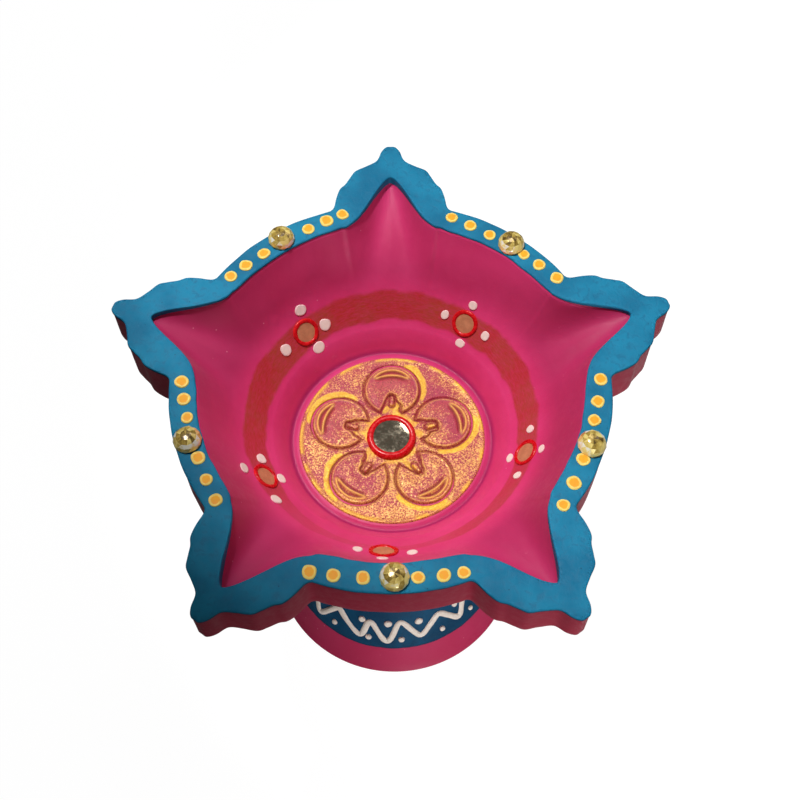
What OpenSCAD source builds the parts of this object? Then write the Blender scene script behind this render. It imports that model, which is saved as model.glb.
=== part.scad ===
// Star-shaped clay oil lamp on a hollow foot, painted and trimmed with mirrors and stones.
// Millimetres, +Z up. The origin is the centre of the foot's underside, and a star tip lies on +Y.
// The bowl and the rim paint are polar grids: columns run round the lamp, rings follow its section.

/* [Star bowl] */
// Height from the table to the top of the rim
lamp_h = 87; // [84:0.5:92]
// Distance from the axis to a star tip
tip_r = 55; // [54:0.5:58]
// Outer radius of the rim between two tips
side_r = 40.4; // [40:0.1:41.5]
// Radius of the mouth between two tips
mouth_r = 35.2; // [34.6:0.1:35.6]
// How far the mouth runs out into each tip beyond its plain radius
horn_l = 11.9; // [10:0.1:12.5]
// Thickness of the star's rim slab in a tip
slab_t = 9; // [7:0.5:10]
// How much thicker the slab is between two tips
slab_more = 1.8; // [0:0.2:2]
// Depth of the bowl's floor below the rim
floor_depth = 23.3; // [22.5:0.1:25]
// Thickness of the clay under the floor
floor_t = 5.3; // [4:0.1:6]
// Radius of the flat floor
floor_r = 20.2; // [19.6:0.1:20.6]

/* [Wall trims] */
// Diameter of each small round mirror on the wall
wall_mirror_d = 4; // [3:0.1:4.4]
// Thickness of the red bead around each small mirror
wall_bead_d = 1; // [0.7:0.05:1]
// Length of a white dab, before its flower's own share
dab_l = 2.3; // [1.8:0.1:2.4]
// Width of a white dab, before its flower's own share
dab_w = 2; // [1.5:0.1:2.2]

/* [Floor medallion] */
// Radius of the moulded medallion
medallion_r = 18.4; // [17.5:0.1:19]
// Radius of one petal
petal_r = 5.6; // [4.8:0.1:5.8]
// Distance from the axis to a petal's centre
petal_reach = 10.7; // [10.5:0.1:11]
// Diameter of the round mirror in the centre
centre_mirror_d = 8; // [7:0.1:8.2]
// Thickness of the red bead around the centre mirror
centre_bead_d = 1.5; // [1.2:0.1:1.5]

/* [Rim trims] */
// Diameter of a flat-backed stone
stone_d = 5.2; // [4.6:0.1:5.2]
// Height of a flat-backed stone
stone_h = 2.3; // [1.8:0.1:2.6]
// Diameter of a yellow rim dot
rim_dot_d = 2.3; // [1.8:0.1:2.5]
// Distance from the axis to the stones
stone_r = 37.9; // [37.6:0.1:38]
// Distance from the axis to the middle of a row of rim dots
dot_r = 37.5; // [37.4:0.1:37.8]

/* [Foot] */
// Outer radius of the foot where it stands on the table
foot_r = 28.4; // [27:0.1:30]
// Radius of the neck where it meets the bowl
neck_r = 15.5; // [14.5:0.1:16]
// How much the foot's radius shrinks for each millimetre of height
foot_taper = 0.465; // [0.44:0.005:0.48]
// Wall thickness of the hollow foot
foot_wall = 4; // [3:0.1:5]
// Lower edge of the blue band
band_low = 7.5; // [6:0.1:8.5]
// Upper edge of the blue band
band_high = 19.5; // [19:0.1:20]
// Number of waves in the white zigzag line
waves = 18; // [16:1:20]
// Thickness of the white line
line_d = 1.2; // [0.9:0.1:1.3]

/* [Paint] */
// Thickness of a painted coat
coat_t = 0.4; // [0.3:0.05:0.5]

/* [Hidden] */
$fn = 64;
points_n = 5;
sector = 360 / points_n;
half_sector = sector / 2;
first_tip = 90;

// Half of a tip's outline: [degrees from the tip's axis, share of the way from side_r to tip_r]
tip_knots = [
    [0, 1], [1, 0.99], [2, 0.91], [3.1, 0.76], [5.6, 0.68], [8.2, 0.62],
    [9.6, 0.53], [11.2, 0.42], [12.8, 0.35], [14.2, 0.22], [15.6, 0.05], [17, 0]
];
knot_steps = 2;
side_steps = 4;
// The mouth narrows towards a tip as exp(-(angle / horn_width) ^ horn_power)
horn_width = 7.3;
horn_power = 1.55;

// The painted lip inside the mouth, at the sides and in a tip
lip_side = 1.2;
lip_tip = 3.7;
// The round part of the bowl's inside: [radius, depth below the rim]
ring_top = [28.2, 13];
ring_low = [24.1, 17.3];
// The foot of the inside wall stands this far out from the flat floor, and this far above it
floor_edge = [0.3, 1.8];
wall_slope = (ring_low.y - ring_top.y) / (ring_top.x - ring_low.x);
wall_angle = atan(wall_slope);
// Slope of the inside at the lip, in a tip and how much more it is at the sides
lip_slope_tip = 0.4;
lip_slope_more = 1.8;
wall_rings = 3;
// The underside from the neck to the rim slab: [radius, height above the neck, share of the horn]
under_keys = [[22.5, 2.2, 0], [29, 8, 0.15], [34.5, 14.5, 0.55]];
// How far the clay reaches out under the slab beyond the mouth
slab_seat = 2.8;

clay_top = lamp_h - coat_t;
neck_z = lamp_h - floor_depth - floor_t;
floor_z = lamp_h - floor_depth;
medallion_t = 1;
petal_t = 0.5;
petal_root = 0.3;
medallion_z = floor_z + medallion_t;

// The notch in a petal: its point, its half width at the petal's edge and how far it runs past it
notch = [-1.4, 2.4, 1];
// The crescent in a petal: its outer edge's distance from the petal's, its radius there and its drift
crescent = [1, 0.9, 1.2];

mirror_t = 1.2;
wall_mirror_t = 0.5;
wall_mirror_r = 26.5;
// A bead of paint: how much of it laps over the mirror, how low its inner foot is and how round it is
bead_lap = 0.4;
bead_foot = 0.3;
bead_rise = 0.4;
dab_t = 0.4;
stone_table_d = 3;
stone_girdle_h = 0.5;
dot_h = 0.6;
// Hand-set turns from the middle of each side, in degrees, for sides 1 to 5
mirror_turns = [4.5, 8.5, -3, 2.5, 2];
stone_turns = [-2.5, 0, 1, -2, -1.5];
rim_dot_turns = [
    [-22, -17, -11, 4.5, 11, 16.5],
    [-18.5, -13, -7, 6, 13, 19.5],
    [-20.5, -14.5, -7, 7, 13.5, 18.5],
    [-21.5, -14.5, -7, 5.5, 11.5, 18.5],
    [-18.5, -12, -6.5, 5.5, 12, 18]
];
// How far each side's row of dots is shifted outwards
rim_dot_shifts = [0, -0.6, -0.5, -0.4, 0.3];
// The dabs of each flower: [turn from straight up the wall, distance from the mirror's centre]
dab_places = [
    [[-17, 4.5], [-100, 4.3], [91, 5.6], [-170, 4.3]],
    [[-19, 5], [-100, 4.1], [78, 5.7], [175, 4]],
    [[0, 4], [-83, 4.6], [77, 5.2]],
    [[0, 4], [-90, 5.1], [86, 5], [-173, 4]],
    [[0, 4], [-88, 5], [91, 4.5], [-169, 4.2]]
];
// How large each flower's dabs are
dab_shares = [1.2, 1.05, 1, 0.85, 0.9];
// How far the row of dots has drifted outwards at dot_drift_at degrees from the middle
dot_drift = 1.2;
dot_drift_at = 20;

cone_top = 20;
hollow_top = 34;
// Heights of the two rows of drops on the band, and the share of a wave at which they lie
low_drops_z = 10.6;
low_drops_turn = 0.75;
high_drops_z = 15.2;
high_drops_turn = 0.25;
zigzag_low = 9.8;
zigzag_high = 15.6;
dot_low_d = 1.7;
dot_high_d = 2.1;
line_stations = 6;
line_sides = 6;

NUMBERED = ["rhinestone_", "wall_mirror_", "wall_bead_", "wall_dabs_", "rim_dots_"];

// ---- the star's outline ----

// A smooth curve through four values in a row, between the middle two
function between(a, b, c, d, t) =
    b + t * (c - a) / 2
    + t * t * (a - 2.5 * b + 2 * c - d / 2)
    + t * t * t * (1.5 * (b - c) + (d - a) / 2);

knot_n = len(tip_knots);
// Knot i, where the outline mirrors at the tip and runs on along the side
function knot(i) = i < 0 ? [-tip_knots[-i].x, tip_knots[-i].y]
    : i >= knot_n ? [2 * tip_knots[knot_n - 1].x - tip_knots[knot_n - 2].x, 0]
    : tip_knots[i];

half_outline = concat(
    [
        for (i = [0:knot_n - 2]) for (s = [0:knot_steps - 1])
        between(knot(i - 1), knot(i), knot(i + 1), knot(i + 2), s / knot_steps)
    ],
    [
        for (s = [0:side_steps])
        [knot(knot_n - 1).x + (half_sector - knot(knot_n - 1).x) * s / side_steps, 0]
    ]
);
half_n = len(half_outline) - 1;
columns = 2 * half_n * points_n;

// Place of a column in its sector, and its mirror image in the half outline
function place(c) = c % (2 * half_n);
function folded(c) = min(place(c), 2 * half_n - place(c));
function column_angle(c) = first_tip + sector * floor(c / (2 * half_n))
    + (place(c) <= half_n ? half_outline[folded(c)].x : sector - half_outline[folded(c)].x);
function outer_r(c) = side_r + (tip_r - side_r) * half_outline[folded(c)].y;
// 1 on a tip's axis, falling to 0 at the sides
function horn(c) = exp(-pow(half_outline[folded(c)].x / horn_width, horn_power));
function inner_r(c) = mouth_r + horn_l * horn(c);
function lip(c) = lip_side + (lip_tip - lip_side) * horn(c);
function slab_z(c) = lamp_h - slab_t - slab_more * (1 - horn(c));
function at(c, r, z) = [r * cos(column_angle(c)), r * sin(column_angle(c)), z];

// Depth of the inside wall at share t from the ring's upper edge to the lip
function wall_depth(c, t) =
    let (run = inner_r(c) - ring_top.x, end = lip_slope_tip + lip_slope_more * (1 - horn(c)))
    (2 * pow(t, 3) - 3 * pow(t, 2) + 1) * ring_top.y
    - (pow(t, 3) - 2 * pow(t, 2) + t) * run * wall_slope
    + (3 * pow(t, 2) - 2 * pow(t, 3)) * lip(c)
    - (pow(t, 3) - pow(t, 2)) * run * end;

// The clay's section at a column, from the underside's centre disc out, up, over and down inside
function bowl_section(c) =
    let (r = inner_r(c), h = r - mouth_r)
    concat(
        [
            [neck_r, neck_z],
            for (key = under_keys) [key.x + key.z * h, neck_z + key.y],
            [r + slab_seat, slab_z(c)],
            [outer_r(c), slab_z(c)],
            [outer_r(c), clay_top],
            [r + coat_t, clay_top],
            [r + coat_t, lamp_h - lip(c)],
            [r, lamp_h - lip(c)]
        ],
        [
            for (k = [wall_rings:-1:1]) let (t = k / (wall_rings + 1))
            [ring_top.x + t * (r - ring_top.x), lamp_h - wall_depth(c, t)]
        ],
        [
            [ring_top.x, lamp_h - ring_top.y],
            [ring_low.x, lamp_h - ring_low.y],
            [floor_r + floor_edge.x, floor_z + floor_edge.y],
            [floor_r, floor_z]
        ]
    );

// The rim paint's section: a flat coat with a skirt down the inside lip
function paint_section(c) =
    let (r = inner_r(c))
    [
        [outer_r(c), clay_top],
        [outer_r(c), lamp_h],
        [r, lamp_h],
        [r, lamp_h - lip(c)],
        [r + coat_t, lamp_h - lip(c)],
        [r + coat_t, clay_top]
    ];

// Triangles between ring a and ring b of a polar grid with n columns
function band_faces(a, b, n) = [
    for (c = [0:n - 1], d = [(c + 1) % n], f = [0, 1])
    f == 0 ? [a * n + c, b * n + c, b * n + d] : [a * n + c, b * n + d, a * n + d]
];

// ---- the pieces ----

module star_bowl() {
    sections = [for (c = [0:columns - 1]) bowl_section(c)];
    rings = len(sections[0]);
    grid = [for (k = [0:rings - 1]) for (c = [0:columns - 1]) at(c, sections[c][k].x, sections[c][k].y)];
    last = (rings - 1) * columns;
    walls = [for (k = [0:rings - 2]) each band_faces(k, k + 1, columns)];
    under = [for (c = [0:columns - 1]) [rings * columns, c, (c + 1) % columns]];
    floor_fan = [for (c = [0:columns - 1]) [rings * columns + 1, last + (c + 1) % columns, last + c]];
    color([0.72, 0.15, 0.33])
        polyhedron(concat(grid, [[0, 0, neck_z], [0, 0, floor_z]]), concat(walls, under, floor_fan));
}

module rim_paint() {
    sections = [for (c = [0:columns - 1]) paint_section(c)];
    rings = len(sections[0]);
    grid = [for (k = [0:rings - 1]) for (c = [0:columns - 1]) at(c, sections[c][k].x, sections[c][k].y)];
    color([0.13, 0.52, 0.65])
        polyhedron(grid, [for (k = [0:rings - 1]) each band_faces(k, (k + 1) % rings, columns)]);
}

function cone_r(z) = foot_r - foot_taper * z;
// Bezier curve from the straight cone up through the waist to the neck
waist = [
    [cone_r(cone_top), cone_top],
    [cone_r(cone_top + 12), cone_top + 12],
    [neck_r - 5.5, neck_z - 12],
    [neck_r, neck_z]
];
function bezier(p, t) = pow(1 - t, 3) * p[0] + 3 * t * pow(1 - t, 2) * p[1]
    + 3 * t * t * (1 - t) * p[2] + pow(t, 3) * p[3];
waist_steps = 12;
hollow_steps = 10;
hollow_narrowing = 0.25;
function hollow_r(z) = (foot_r - foot_wall) * sqrt(1 - pow(z / hollow_top, 2))
    * (1 - hollow_narrowing * z / hollow_top);

module pedestal_foot() {
    outside = [for (k = [0:waist_steps]) bezier(waist, k / waist_steps)];
    inside = [for (k = [hollow_steps:-1:0]) let (z = hollow_top * k / hollow_steps) [hollow_r(z), z]];
    color([0.66, 0.19, 0.33])
        rotate_extrude()
            polygon(concat([[foot_r, 0]], outside, [[0, neck_z]], inside));
}

module foot_paint() {
    color([0.06, 0.24, 0.36])
        rotate_extrude()
            polygon([
                [cone_r(band_low), band_low],
                [cone_r(band_low) + coat_t, band_low],
                [cone_r(band_high) + coat_t, band_high],
                [cone_r(band_high), band_high]
            ]);
}

// One petal's outline: a circle with a notch cut towards the axis
module petal_outline() {
    difference() {
        circle(r = petal_r);
        polygon([[notch.x, 0], [-petal_r - notch.z, notch.y], [-petal_r - notch.z, -notch.y]]);
    }
}

module petal() {
    difference() {
        translate([0, 0, -petal_root]) linear_extrude(petal_root + petal_t) petal_outline();
        // a shallow crescent inside the petal's outer edge
        translate([0, 0, petal_t / 2])
            linear_extrude(petal_t)
                difference() {
                    circle(r = petal_r - crescent.x);
                    translate([-crescent.z, 0]) circle(r = petal_r - crescent.y);
                }
    }
}

module floor_medallion() {
    color([0.85, 0.58, 0.2])
        union() {
            translate([0, 0, floor_z]) cylinder(h = medallion_t, r = medallion_r);
            for (k = [0:points_n - 1])
                rotate([0, 0, first_tip + sector * k])
                    translate([petal_reach, 0, medallion_z]) petal();
        }
}

module centre_mirror() {
    color([0.8, 0.8, 0.78])
        translate([0, 0, medallion_z]) cylinder(h = mirror_t, d = centre_mirror_d);
}

// A bead of paint around a mirror on the plane z = 0: it stands beside the edge and laps over it
module bead(mirror_d, thick, d) {
    lap = d * bead_lap;
    out = d - lap;
    foot_h = thick * bead_foot;
    round = [
        for (t = [0:30:180])
        [
            mirror_d / 2 + (out - lap) / 2 + d / 2 * cos(t),
            foot_h + (thick - foot_h) * t / 180 + d * bead_rise * sin(t)
        ]
    ];
    rotate_extrude()
        polygon(concat([[mirror_d / 2, 0], [mirror_d / 2 + out, 0]], round, [[mirror_d / 2, thick]]));
}

module centre_bead() {
    color([0.8, 0.05, 0.08])
        translate([0, 0, medallion_z]) bead(centre_mirror_d, mirror_t, centre_bead_d);
}

// Puts its children on the inside wall at angle a and radius r, with local +Z along the wall's
// normal and local -X down the wall
module on_wall(a, r) {
    rotate([0, 0, a])
        translate([r, 0, lamp_h - ring_top.y - (ring_top.x - r) * wall_slope])
            rotate([0, -wall_angle, 0])
                children();
}

function side_angle(k) = first_tip + half_sector + sector * (k - 1);

module at_flower(k) {
    on_wall(side_angle(k) + mirror_turns[k - 1], wall_mirror_r) children();
}

module wall_mirror(k) {
    color([0.8, 0.55, 0.4])
        at_flower(k) cylinder(h = wall_mirror_t, d = wall_mirror_d);
}

module wall_bead(k) {
    color([0.78, 0.06, 0.08])
        at_flower(k) bead(wall_mirror_d, wall_mirror_t, wall_bead_d);
}

module dab_outline(share) {
    polygon([for (t = [0:15:345]) [share * dab_w / 2 * cos(t), share * dab_l / 2 * sin(t)]]);
}

// The dabs around a mirror, each on its own spot of the round wall and long side to the mirror
module wall_dabs(k) {
    color([0.96, 0.88, 0.84])
        for (place = dab_places[k - 1])
            let (
                turn = place.x,
                reach = place.y,
                r = wall_mirror_r + reach * cos(turn) * cos(wall_angle),
                swing = asin(reach * sin(turn) / r)
            )
                on_wall(side_angle(k) + mirror_turns[k - 1] + swing, r)
                    rotate([0, 0, turn]) linear_extrude(dab_t) dab_outline(dab_shares[k - 1]);
}

module rhinestone(k) {
    color([0.9, 0.85, 0.6])
        rotate([0, 0, side_angle(k) + stone_turns[k - 1]])
            translate([stone_r, 0, lamp_h])
                rotate_extrude()
                    polygon([
                        [0, 0],
                        [stone_d / 2, 0],
                        [stone_d / 2, stone_girdle_h],
                        [stone_table_d / 2, stone_h],
                        [0, stone_h]
                    ]);
}

// A raised drop of paint with a flat underside
module drop(d, h) {
    rotate_extrude()
        polygon(concat([[0, 0]], [for (t = [0:22.5:90]) [d / 2 * cos(t), h * sin(t)]]));
}

module rim_dots(k) {
    color([1, 0.7, 0.12])
        for (turn = rim_dot_turns[k - 1])
            let (r = dot_r + rim_dot_shifts[k - 1] + dot_drift * pow(turn / dot_drift_at, 2))
                rotate([0, 0, side_angle(k) + turn])
                    translate([r, 0, lamp_h]) drop(rim_dot_d, dot_h);
}

// A point on the foot's painted band, out by the given distance
function on_band(a, z, out) =
    [(cone_r(z) + coat_t + out) * cos(a), (cone_r(z) + coat_t + out) * sin(a), z];

module zigzag_line() {
    stations = waves * line_stations;
    span = 360 / stations;
    mid = (zigzag_low + zigzag_high) / 2;
    swing = (zigzag_high - zigzag_low) / 2;
    grid = [
        for (k = [0:line_sides - 1]) for (s = [0:stations - 1])
        let (t = 360 * k / line_sides + 180 / line_sides, wide = line_d / 2 * cos(t))
        on_band(s * span, mid - swing * sin(waves * s * span) + wide, line_d / 3 * (1 + sin(t)))
    ];
    color([0.92, 0.86, 0.82])
        polyhedron(grid, [
            for (k = [0:line_sides - 1]) each band_faces((k + 1) % line_sides, k, stations)
        ]);
}

// Drops on the band, one for each wave
module band_dots(z, d, turn) {
    color([0.93, 0.87, 0.83])
        for (w = [0:waves - 1])
            rotate([0, 0, (w + turn) * 360 / waves])
                translate([cone_r(z) + coat_t, 0, z])
                    rotate([0, 90 - atan(foot_taper), 0])
                        drop(d, dot_h);
}

star_bowl();
pedestal_foot();
rim_paint();
foot_paint();
floor_medallion();
centre_mirror();
centre_bead();
zigzag_line();
band_dots(low_drops_z, dot_low_d, low_drops_turn);  // zigzag_low_dots
band_dots(high_drops_z, dot_high_d, high_drops_turn);  // zigzag_high_dots
for (k = [1:points_n]) {
    rhinestone(k);
    wall_mirror(k);
    wall_bead(k);
    wall_dabs(k);
    rim_dots(k);
}
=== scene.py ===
import random
from math import atan, atan2, cos, degrees, exp, hypot, pi, radians, sin, sqrt

import bmesh
import bpy
from mathutils import Matrix, Vector, noise


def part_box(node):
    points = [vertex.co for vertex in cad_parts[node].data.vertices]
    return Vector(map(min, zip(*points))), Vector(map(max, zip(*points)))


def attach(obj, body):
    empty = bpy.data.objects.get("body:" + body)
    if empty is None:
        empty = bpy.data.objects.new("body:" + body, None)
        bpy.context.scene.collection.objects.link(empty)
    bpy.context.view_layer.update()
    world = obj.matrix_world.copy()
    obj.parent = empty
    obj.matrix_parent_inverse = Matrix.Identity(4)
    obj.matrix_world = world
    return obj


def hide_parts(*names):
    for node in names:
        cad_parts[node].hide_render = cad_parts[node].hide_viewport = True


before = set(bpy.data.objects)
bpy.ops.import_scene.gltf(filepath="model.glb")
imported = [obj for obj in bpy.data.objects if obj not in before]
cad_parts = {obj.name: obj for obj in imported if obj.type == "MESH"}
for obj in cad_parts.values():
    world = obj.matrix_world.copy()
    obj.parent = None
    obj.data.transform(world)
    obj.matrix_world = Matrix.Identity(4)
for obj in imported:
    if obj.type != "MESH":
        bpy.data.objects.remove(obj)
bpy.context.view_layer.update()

# A star-shaped painted clay lamp. Shapes are worked out in millimetres and turned into metres once,
# in Shape.point. Columns run round the lamp and rings follow its section, as in the CAD model.

MM = 0.001


def box_mm(node):
    low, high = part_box(node)
    return low / MM, high / MM


# ---- sizes that the CAD model gives ----

_, TIP_R, LAMP_H = box_mm("rim_paint")[1]
FOOT_R, _, NECK_Z = box_mm("pedestal_foot")[1]
FLOOR_Z = box_mm("floor_medallion")[0].z
MEDALLION_R, _, RELIEF_TOP = box_mm("floor_medallion")[1]
DISC_Z = box_mm("centre_mirror")[0].z
BAND_LOW, BAND_HIGH = (corner.z for corner in box_mm("foot_paint"))

# ---- the star, in millimetres and degrees, as the CAD model draws it ----

POINTS = 5
SECTOR = 360 / POINTS
FIRST_TIP = 90
SIDE_R = 40.4
MOUTH_R = 35.2
HORN_L = 11.9
HORN_WIDTH = 7.3
HORN_POWER = 1.55
SLAB_T = 9
SLAB_MORE = 1.8
NECK_R = 15.5
RING_TOP = (28.2, 13)
RING_LOW = (24.1, 17.3)
WALL_SLOPE = (RING_LOW[1] - RING_TOP[1]) / (RING_TOP[0] - RING_LOW[0])
# Half of a tip's outline: degrees from the tip's axis, and the share of the way out to the tip
TIP_KNOTS = [
    (0, 1), (1, 0.99), (2, 0.91), (3.1, 0.76), (5.6, 0.68), (8.2, 0.62),
    (9.6, 0.53), (11.2, 0.42), (12.8, 0.35), (14.2, 0.22), (15.6, 0.05), (17, 0),
]
KNOT_STEPS = 6
SIDE_STEPS = 20

# How much further out the mouth runs in each tip than in the CAD model
HORN_MORE = (0, 0, 0.9, 0.2, 0)
# Depth of the painted lip between the tips, shallower than in the CAD model, and in each tip
LIP_SIDE = 0.6
LIP_TIPS = (2.2, 1.5, 3.7, 3.4, 1.2)
# The mouth between the tips leans this far to the back, and the rim's outer edge bulges with it there
RIM_LEAN = 0.45
# How steep the wall is under the lip: in a tip, and how much more between two tips
LIP_SLOPE = 0.4
LIP_SLOPE_MORE = 1.8
# How far outside the mouth the underside meets the slab
SLAB_SEAT = 2.8

# The coat of paint stands proud of the clay, and the clay stays just inside the CAD outline
COAT_T = 0.16
SKIN = 0.02

# ---- the foot ----

FOOT_TAPER = 0.465
CONE_TOP = 20
HOLLOW_TOP = 34
HOLLOW_NARROWS = 0.25
FOOT_WALL = 4
BAND_COAT = 0.4


# ---- small maths ----

def polar(angle, r, z):
    a = radians(angle)
    return Vector((r * cos(a), r * sin(a), z))


def circle(count):
    """Turns in radians, evenly round a circle."""
    return [2 * pi * c / count for c in range(count)]


def angle_of(place):
    return degrees(atan2(place.y, place.x))


def between(a, b, c, d, t):
    """A smooth curve through four values in a row, between the middle two."""
    return (b + t * (c - a) / 2 + t * t * (a - 2.5 * b + 2 * c - d / 2)
            + t * t * t * (1.5 * (b - c) + (d - a) / 2))


def smooth_path(keys, steps, before=None, after=None):
    """Points on a smooth curve through the keys; before and after steer its two ends."""
    first = before or tuple(2 * p - q for p, q in zip(keys[0], keys[1]))
    last = after or tuple(2 * p - q for p, q in zip(keys[-1], keys[-2]))
    run = [first, *keys, last]
    path = []
    for k in range(1, len(run) - 2):
        for s in range(steps):
            path.append(tuple(between(*(run[k + j][i] for j in (-1, 0, 1, 2)), s / steps)
                              for i in range(len(keys[0]))))
    return path + [tuple(keys[-1])]


def arc(r, z, radius, start, end, steps):
    """Points on an arc of a section, angles in degrees."""
    turns = [radians(start + (end - start) * s / steps) for s in range(steps + 1)]
    return [(r + radius * cos(t), z + radius * sin(t)) for t in turns]


def line(a, b, steps):
    """Points from a to b, both left out."""
    return [tuple(p + (q - p) * s / steps for p, q in zip(a, b)) for s in range(1, steps)]


def soft(x, low, high):
    """0 below low, 1 above high, smooth in between."""
    t = min(max((x - low) / (high - low), 0), 1)
    return t * t * (3 - 2 * t)


def bell(x, width):
    return exp(-(x / width) ** 2)


def hand(x, y, z, size, seed=0.0):
    """Slow unevenness from -1 to 1; size is the distance over which it changes, in millimetres."""
    return noise.noise(Vector((x / size + seed, y / size - seed, z / size + 2 * seed)))


# ---- the star's columns ----

def rim_lean(angle):
    """How far the mouth between two tips stands out from its nominal radius: less than 0 at the front."""
    return RIM_LEAN * sin(radians(angle))


class Column:
    """One radial cut through the star."""

    def __init__(self, angle, theta, share, tip):
        self.angle = angle
        self.horn = exp(-(theta / HORN_WIDTH) ** HORN_POWER)
        unit = polar(angle, 45, 0)
        dent = 0.16 * (1 + hand(unit.x, unit.y, 0, 4.5, 3.1)) * soft(theta, 2, 8)
        lean = rim_lean(angle) * (1 - soft(share, 0, 0.3))
        self.outer = SIDE_R + (TIP_R - SIDE_R) * share + max(lean, 0) - dent
        wobble = 0.2 * hand(unit.x, unit.y, 5, 9, 7.7) + 0.13 * hand(unit.x, unit.y, 8, 3, 2.9)
        longer = HORN_MORE[tip % POINTS] * self.horn
        self.inner = MOUTH_R + HORN_L * self.horn + longer + lean * (1 - self.horn) + wobble
        self.lip = LIP_SIDE + (LIP_TIPS[tip % POINTS] - LIP_SIDE) * self.horn
        self.slab_z = LAMP_H - SLAB_T - SLAB_MORE * (1 - self.horn)

    def at(self, r, z):
        return polar(self.angle, r, z)


def half_outline():
    mirrored = (-TIP_KNOTS[1][0], TIP_KNOTS[1][1])
    straight = (2 * TIP_KNOTS[-1][0] - TIP_KNOTS[-2][0], 0)
    half = smooth_path(TIP_KNOTS, KNOT_STEPS, mirrored, straight)
    last = TIP_KNOTS[-1][0]
    return half + [(last + (SECTOR / 2 - last) * s / SIDE_STEPS, 0) for s in range(1, SIDE_STEPS + 1)]


def star_columns():
    half = half_outline()
    columns = []
    for tip in range(POINTS):
        axis = FIRST_TIP + SECTOR * tip
        columns += [Column(axis + theta, theta, share, tip) for theta, share in half]
        columns += [Column(axis + SECTOR - theta, theta, share, tip + 1)
                    for theta, share in half[-2:0:-1]]
    return columns


def wall_depth(inner, lip, horn, t):
    """Depth of the inside wall at share t of the way from the ring's upper edge to the lip."""
    run = inner - RING_TOP[0]
    end = LIP_SLOPE + LIP_SLOPE_MORE * (1 - horn)
    return ((2 * t ** 3 - 3 * t ** 2 + 1) * RING_TOP[1] - (t ** 3 - 2 * t ** 2 + t) * run * WALL_SLOPE
            + (3 * t ** 2 - 2 * t ** 3) * lip - (t ** 3 - t ** 2) * run * end)


# ---- building meshes ----

def new_object(name, data):
    made = bpy.data.objects.new(name, data)
    bpy.context.scene.collection.objects.link(made)
    return made


class Shape:
    """Points in millimetres, faces, and named numbers kept at each point for the material."""

    def __init__(self, *marks):
        self.points = []
        self.faces = []
        self.marks = {name: [] for name in marks}

    def point(self, place, **marks):
        self.points.append(Vector(place) * MM)
        for name, values in self.marks.items():
            values.append(marks.get(name, 0.0))
        return len(self.points) - 1

    def ring(self, places, **marks):
        return [self.point(place, **marks) for place in places]

    def band(self, a, b):
        """Faces between two closed rings of the same count."""
        count = len(a)
        for c in range(count):
            d = (c + 1) % count
            self.faces.append((a[c], b[c], b[d], a[d]))

    def skin(self, rings, closed=False):
        for a, b in zip(rings, rings[1:]):
            self.band(a, b)
        if closed:
            self.band(rings[-1], rings[0])

    def cap(self, ring, place, **marks):
        """A fan from a ring to one point."""
        centre = self.point(place, **marks)
        for c in range(len(ring)):
            self.faces.append((ring[c], ring[(c + 1) % len(ring)], centre))

    def piece(self, name, material, node, crease=60):
        mesh = bpy.data.meshes.new(name)
        mesh.from_pydata(self.points, [], self.faces)
        for mark, values in self.marks.items():
            mesh.attributes.new(mark, "FLOAT", "POINT").data.foreach_set("value", values)
        work = bmesh.new()
        work.from_mesh(mesh)
        bmesh.ops.recalc_face_normals(work, faces=work.faces)
        work.to_mesh(mesh)
        work.free()
        mesh.shade_smooth()
        mesh.set_sharp_from_angle(angle=radians(crease))
        mesh.materials.append(material)
        made = new_object(name, mesh)
        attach(made, "root")
        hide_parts(node)
        return made


def islands(node):
    """The centre and the size of each separate solid of a CAD node, in millimetres."""
    work = bmesh.new()
    work.from_mesh(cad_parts[node].data)
    bmesh.ops.remove_doubles(work, verts=work.verts, dist=1e-6)
    left = set(work.verts)
    found = []
    while left:
        island = [left.pop()]
        for vert in island:
            for edge in vert.link_edges:
                other = edge.other_vert(vert)
                if other in left:
                    left.remove(other)
                    island.append(other)
        places = [vert.co / MM for vert in island]
        low = Vector([min(place[i] for place in places) for i in range(3)])
        high = Vector([max(place[i] for place in places) for i in range(3)])
        found.append(((low + high) / 2, high - low))
    work.free()
    return sorted(found, key=lambda item: tuple(round(v, 3) for v in item[0]))


# ---- materials ----

def srgb(*colour):
    """A colour given as 0 to 255 on screen, as the shader's linear colour."""
    shares = [v / 255 for v in colour]
    return [v / 12.92 if v <= 0.04045 else ((v + 0.055) / 1.055) ** 2.4 for v in shares] + [1]


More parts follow.
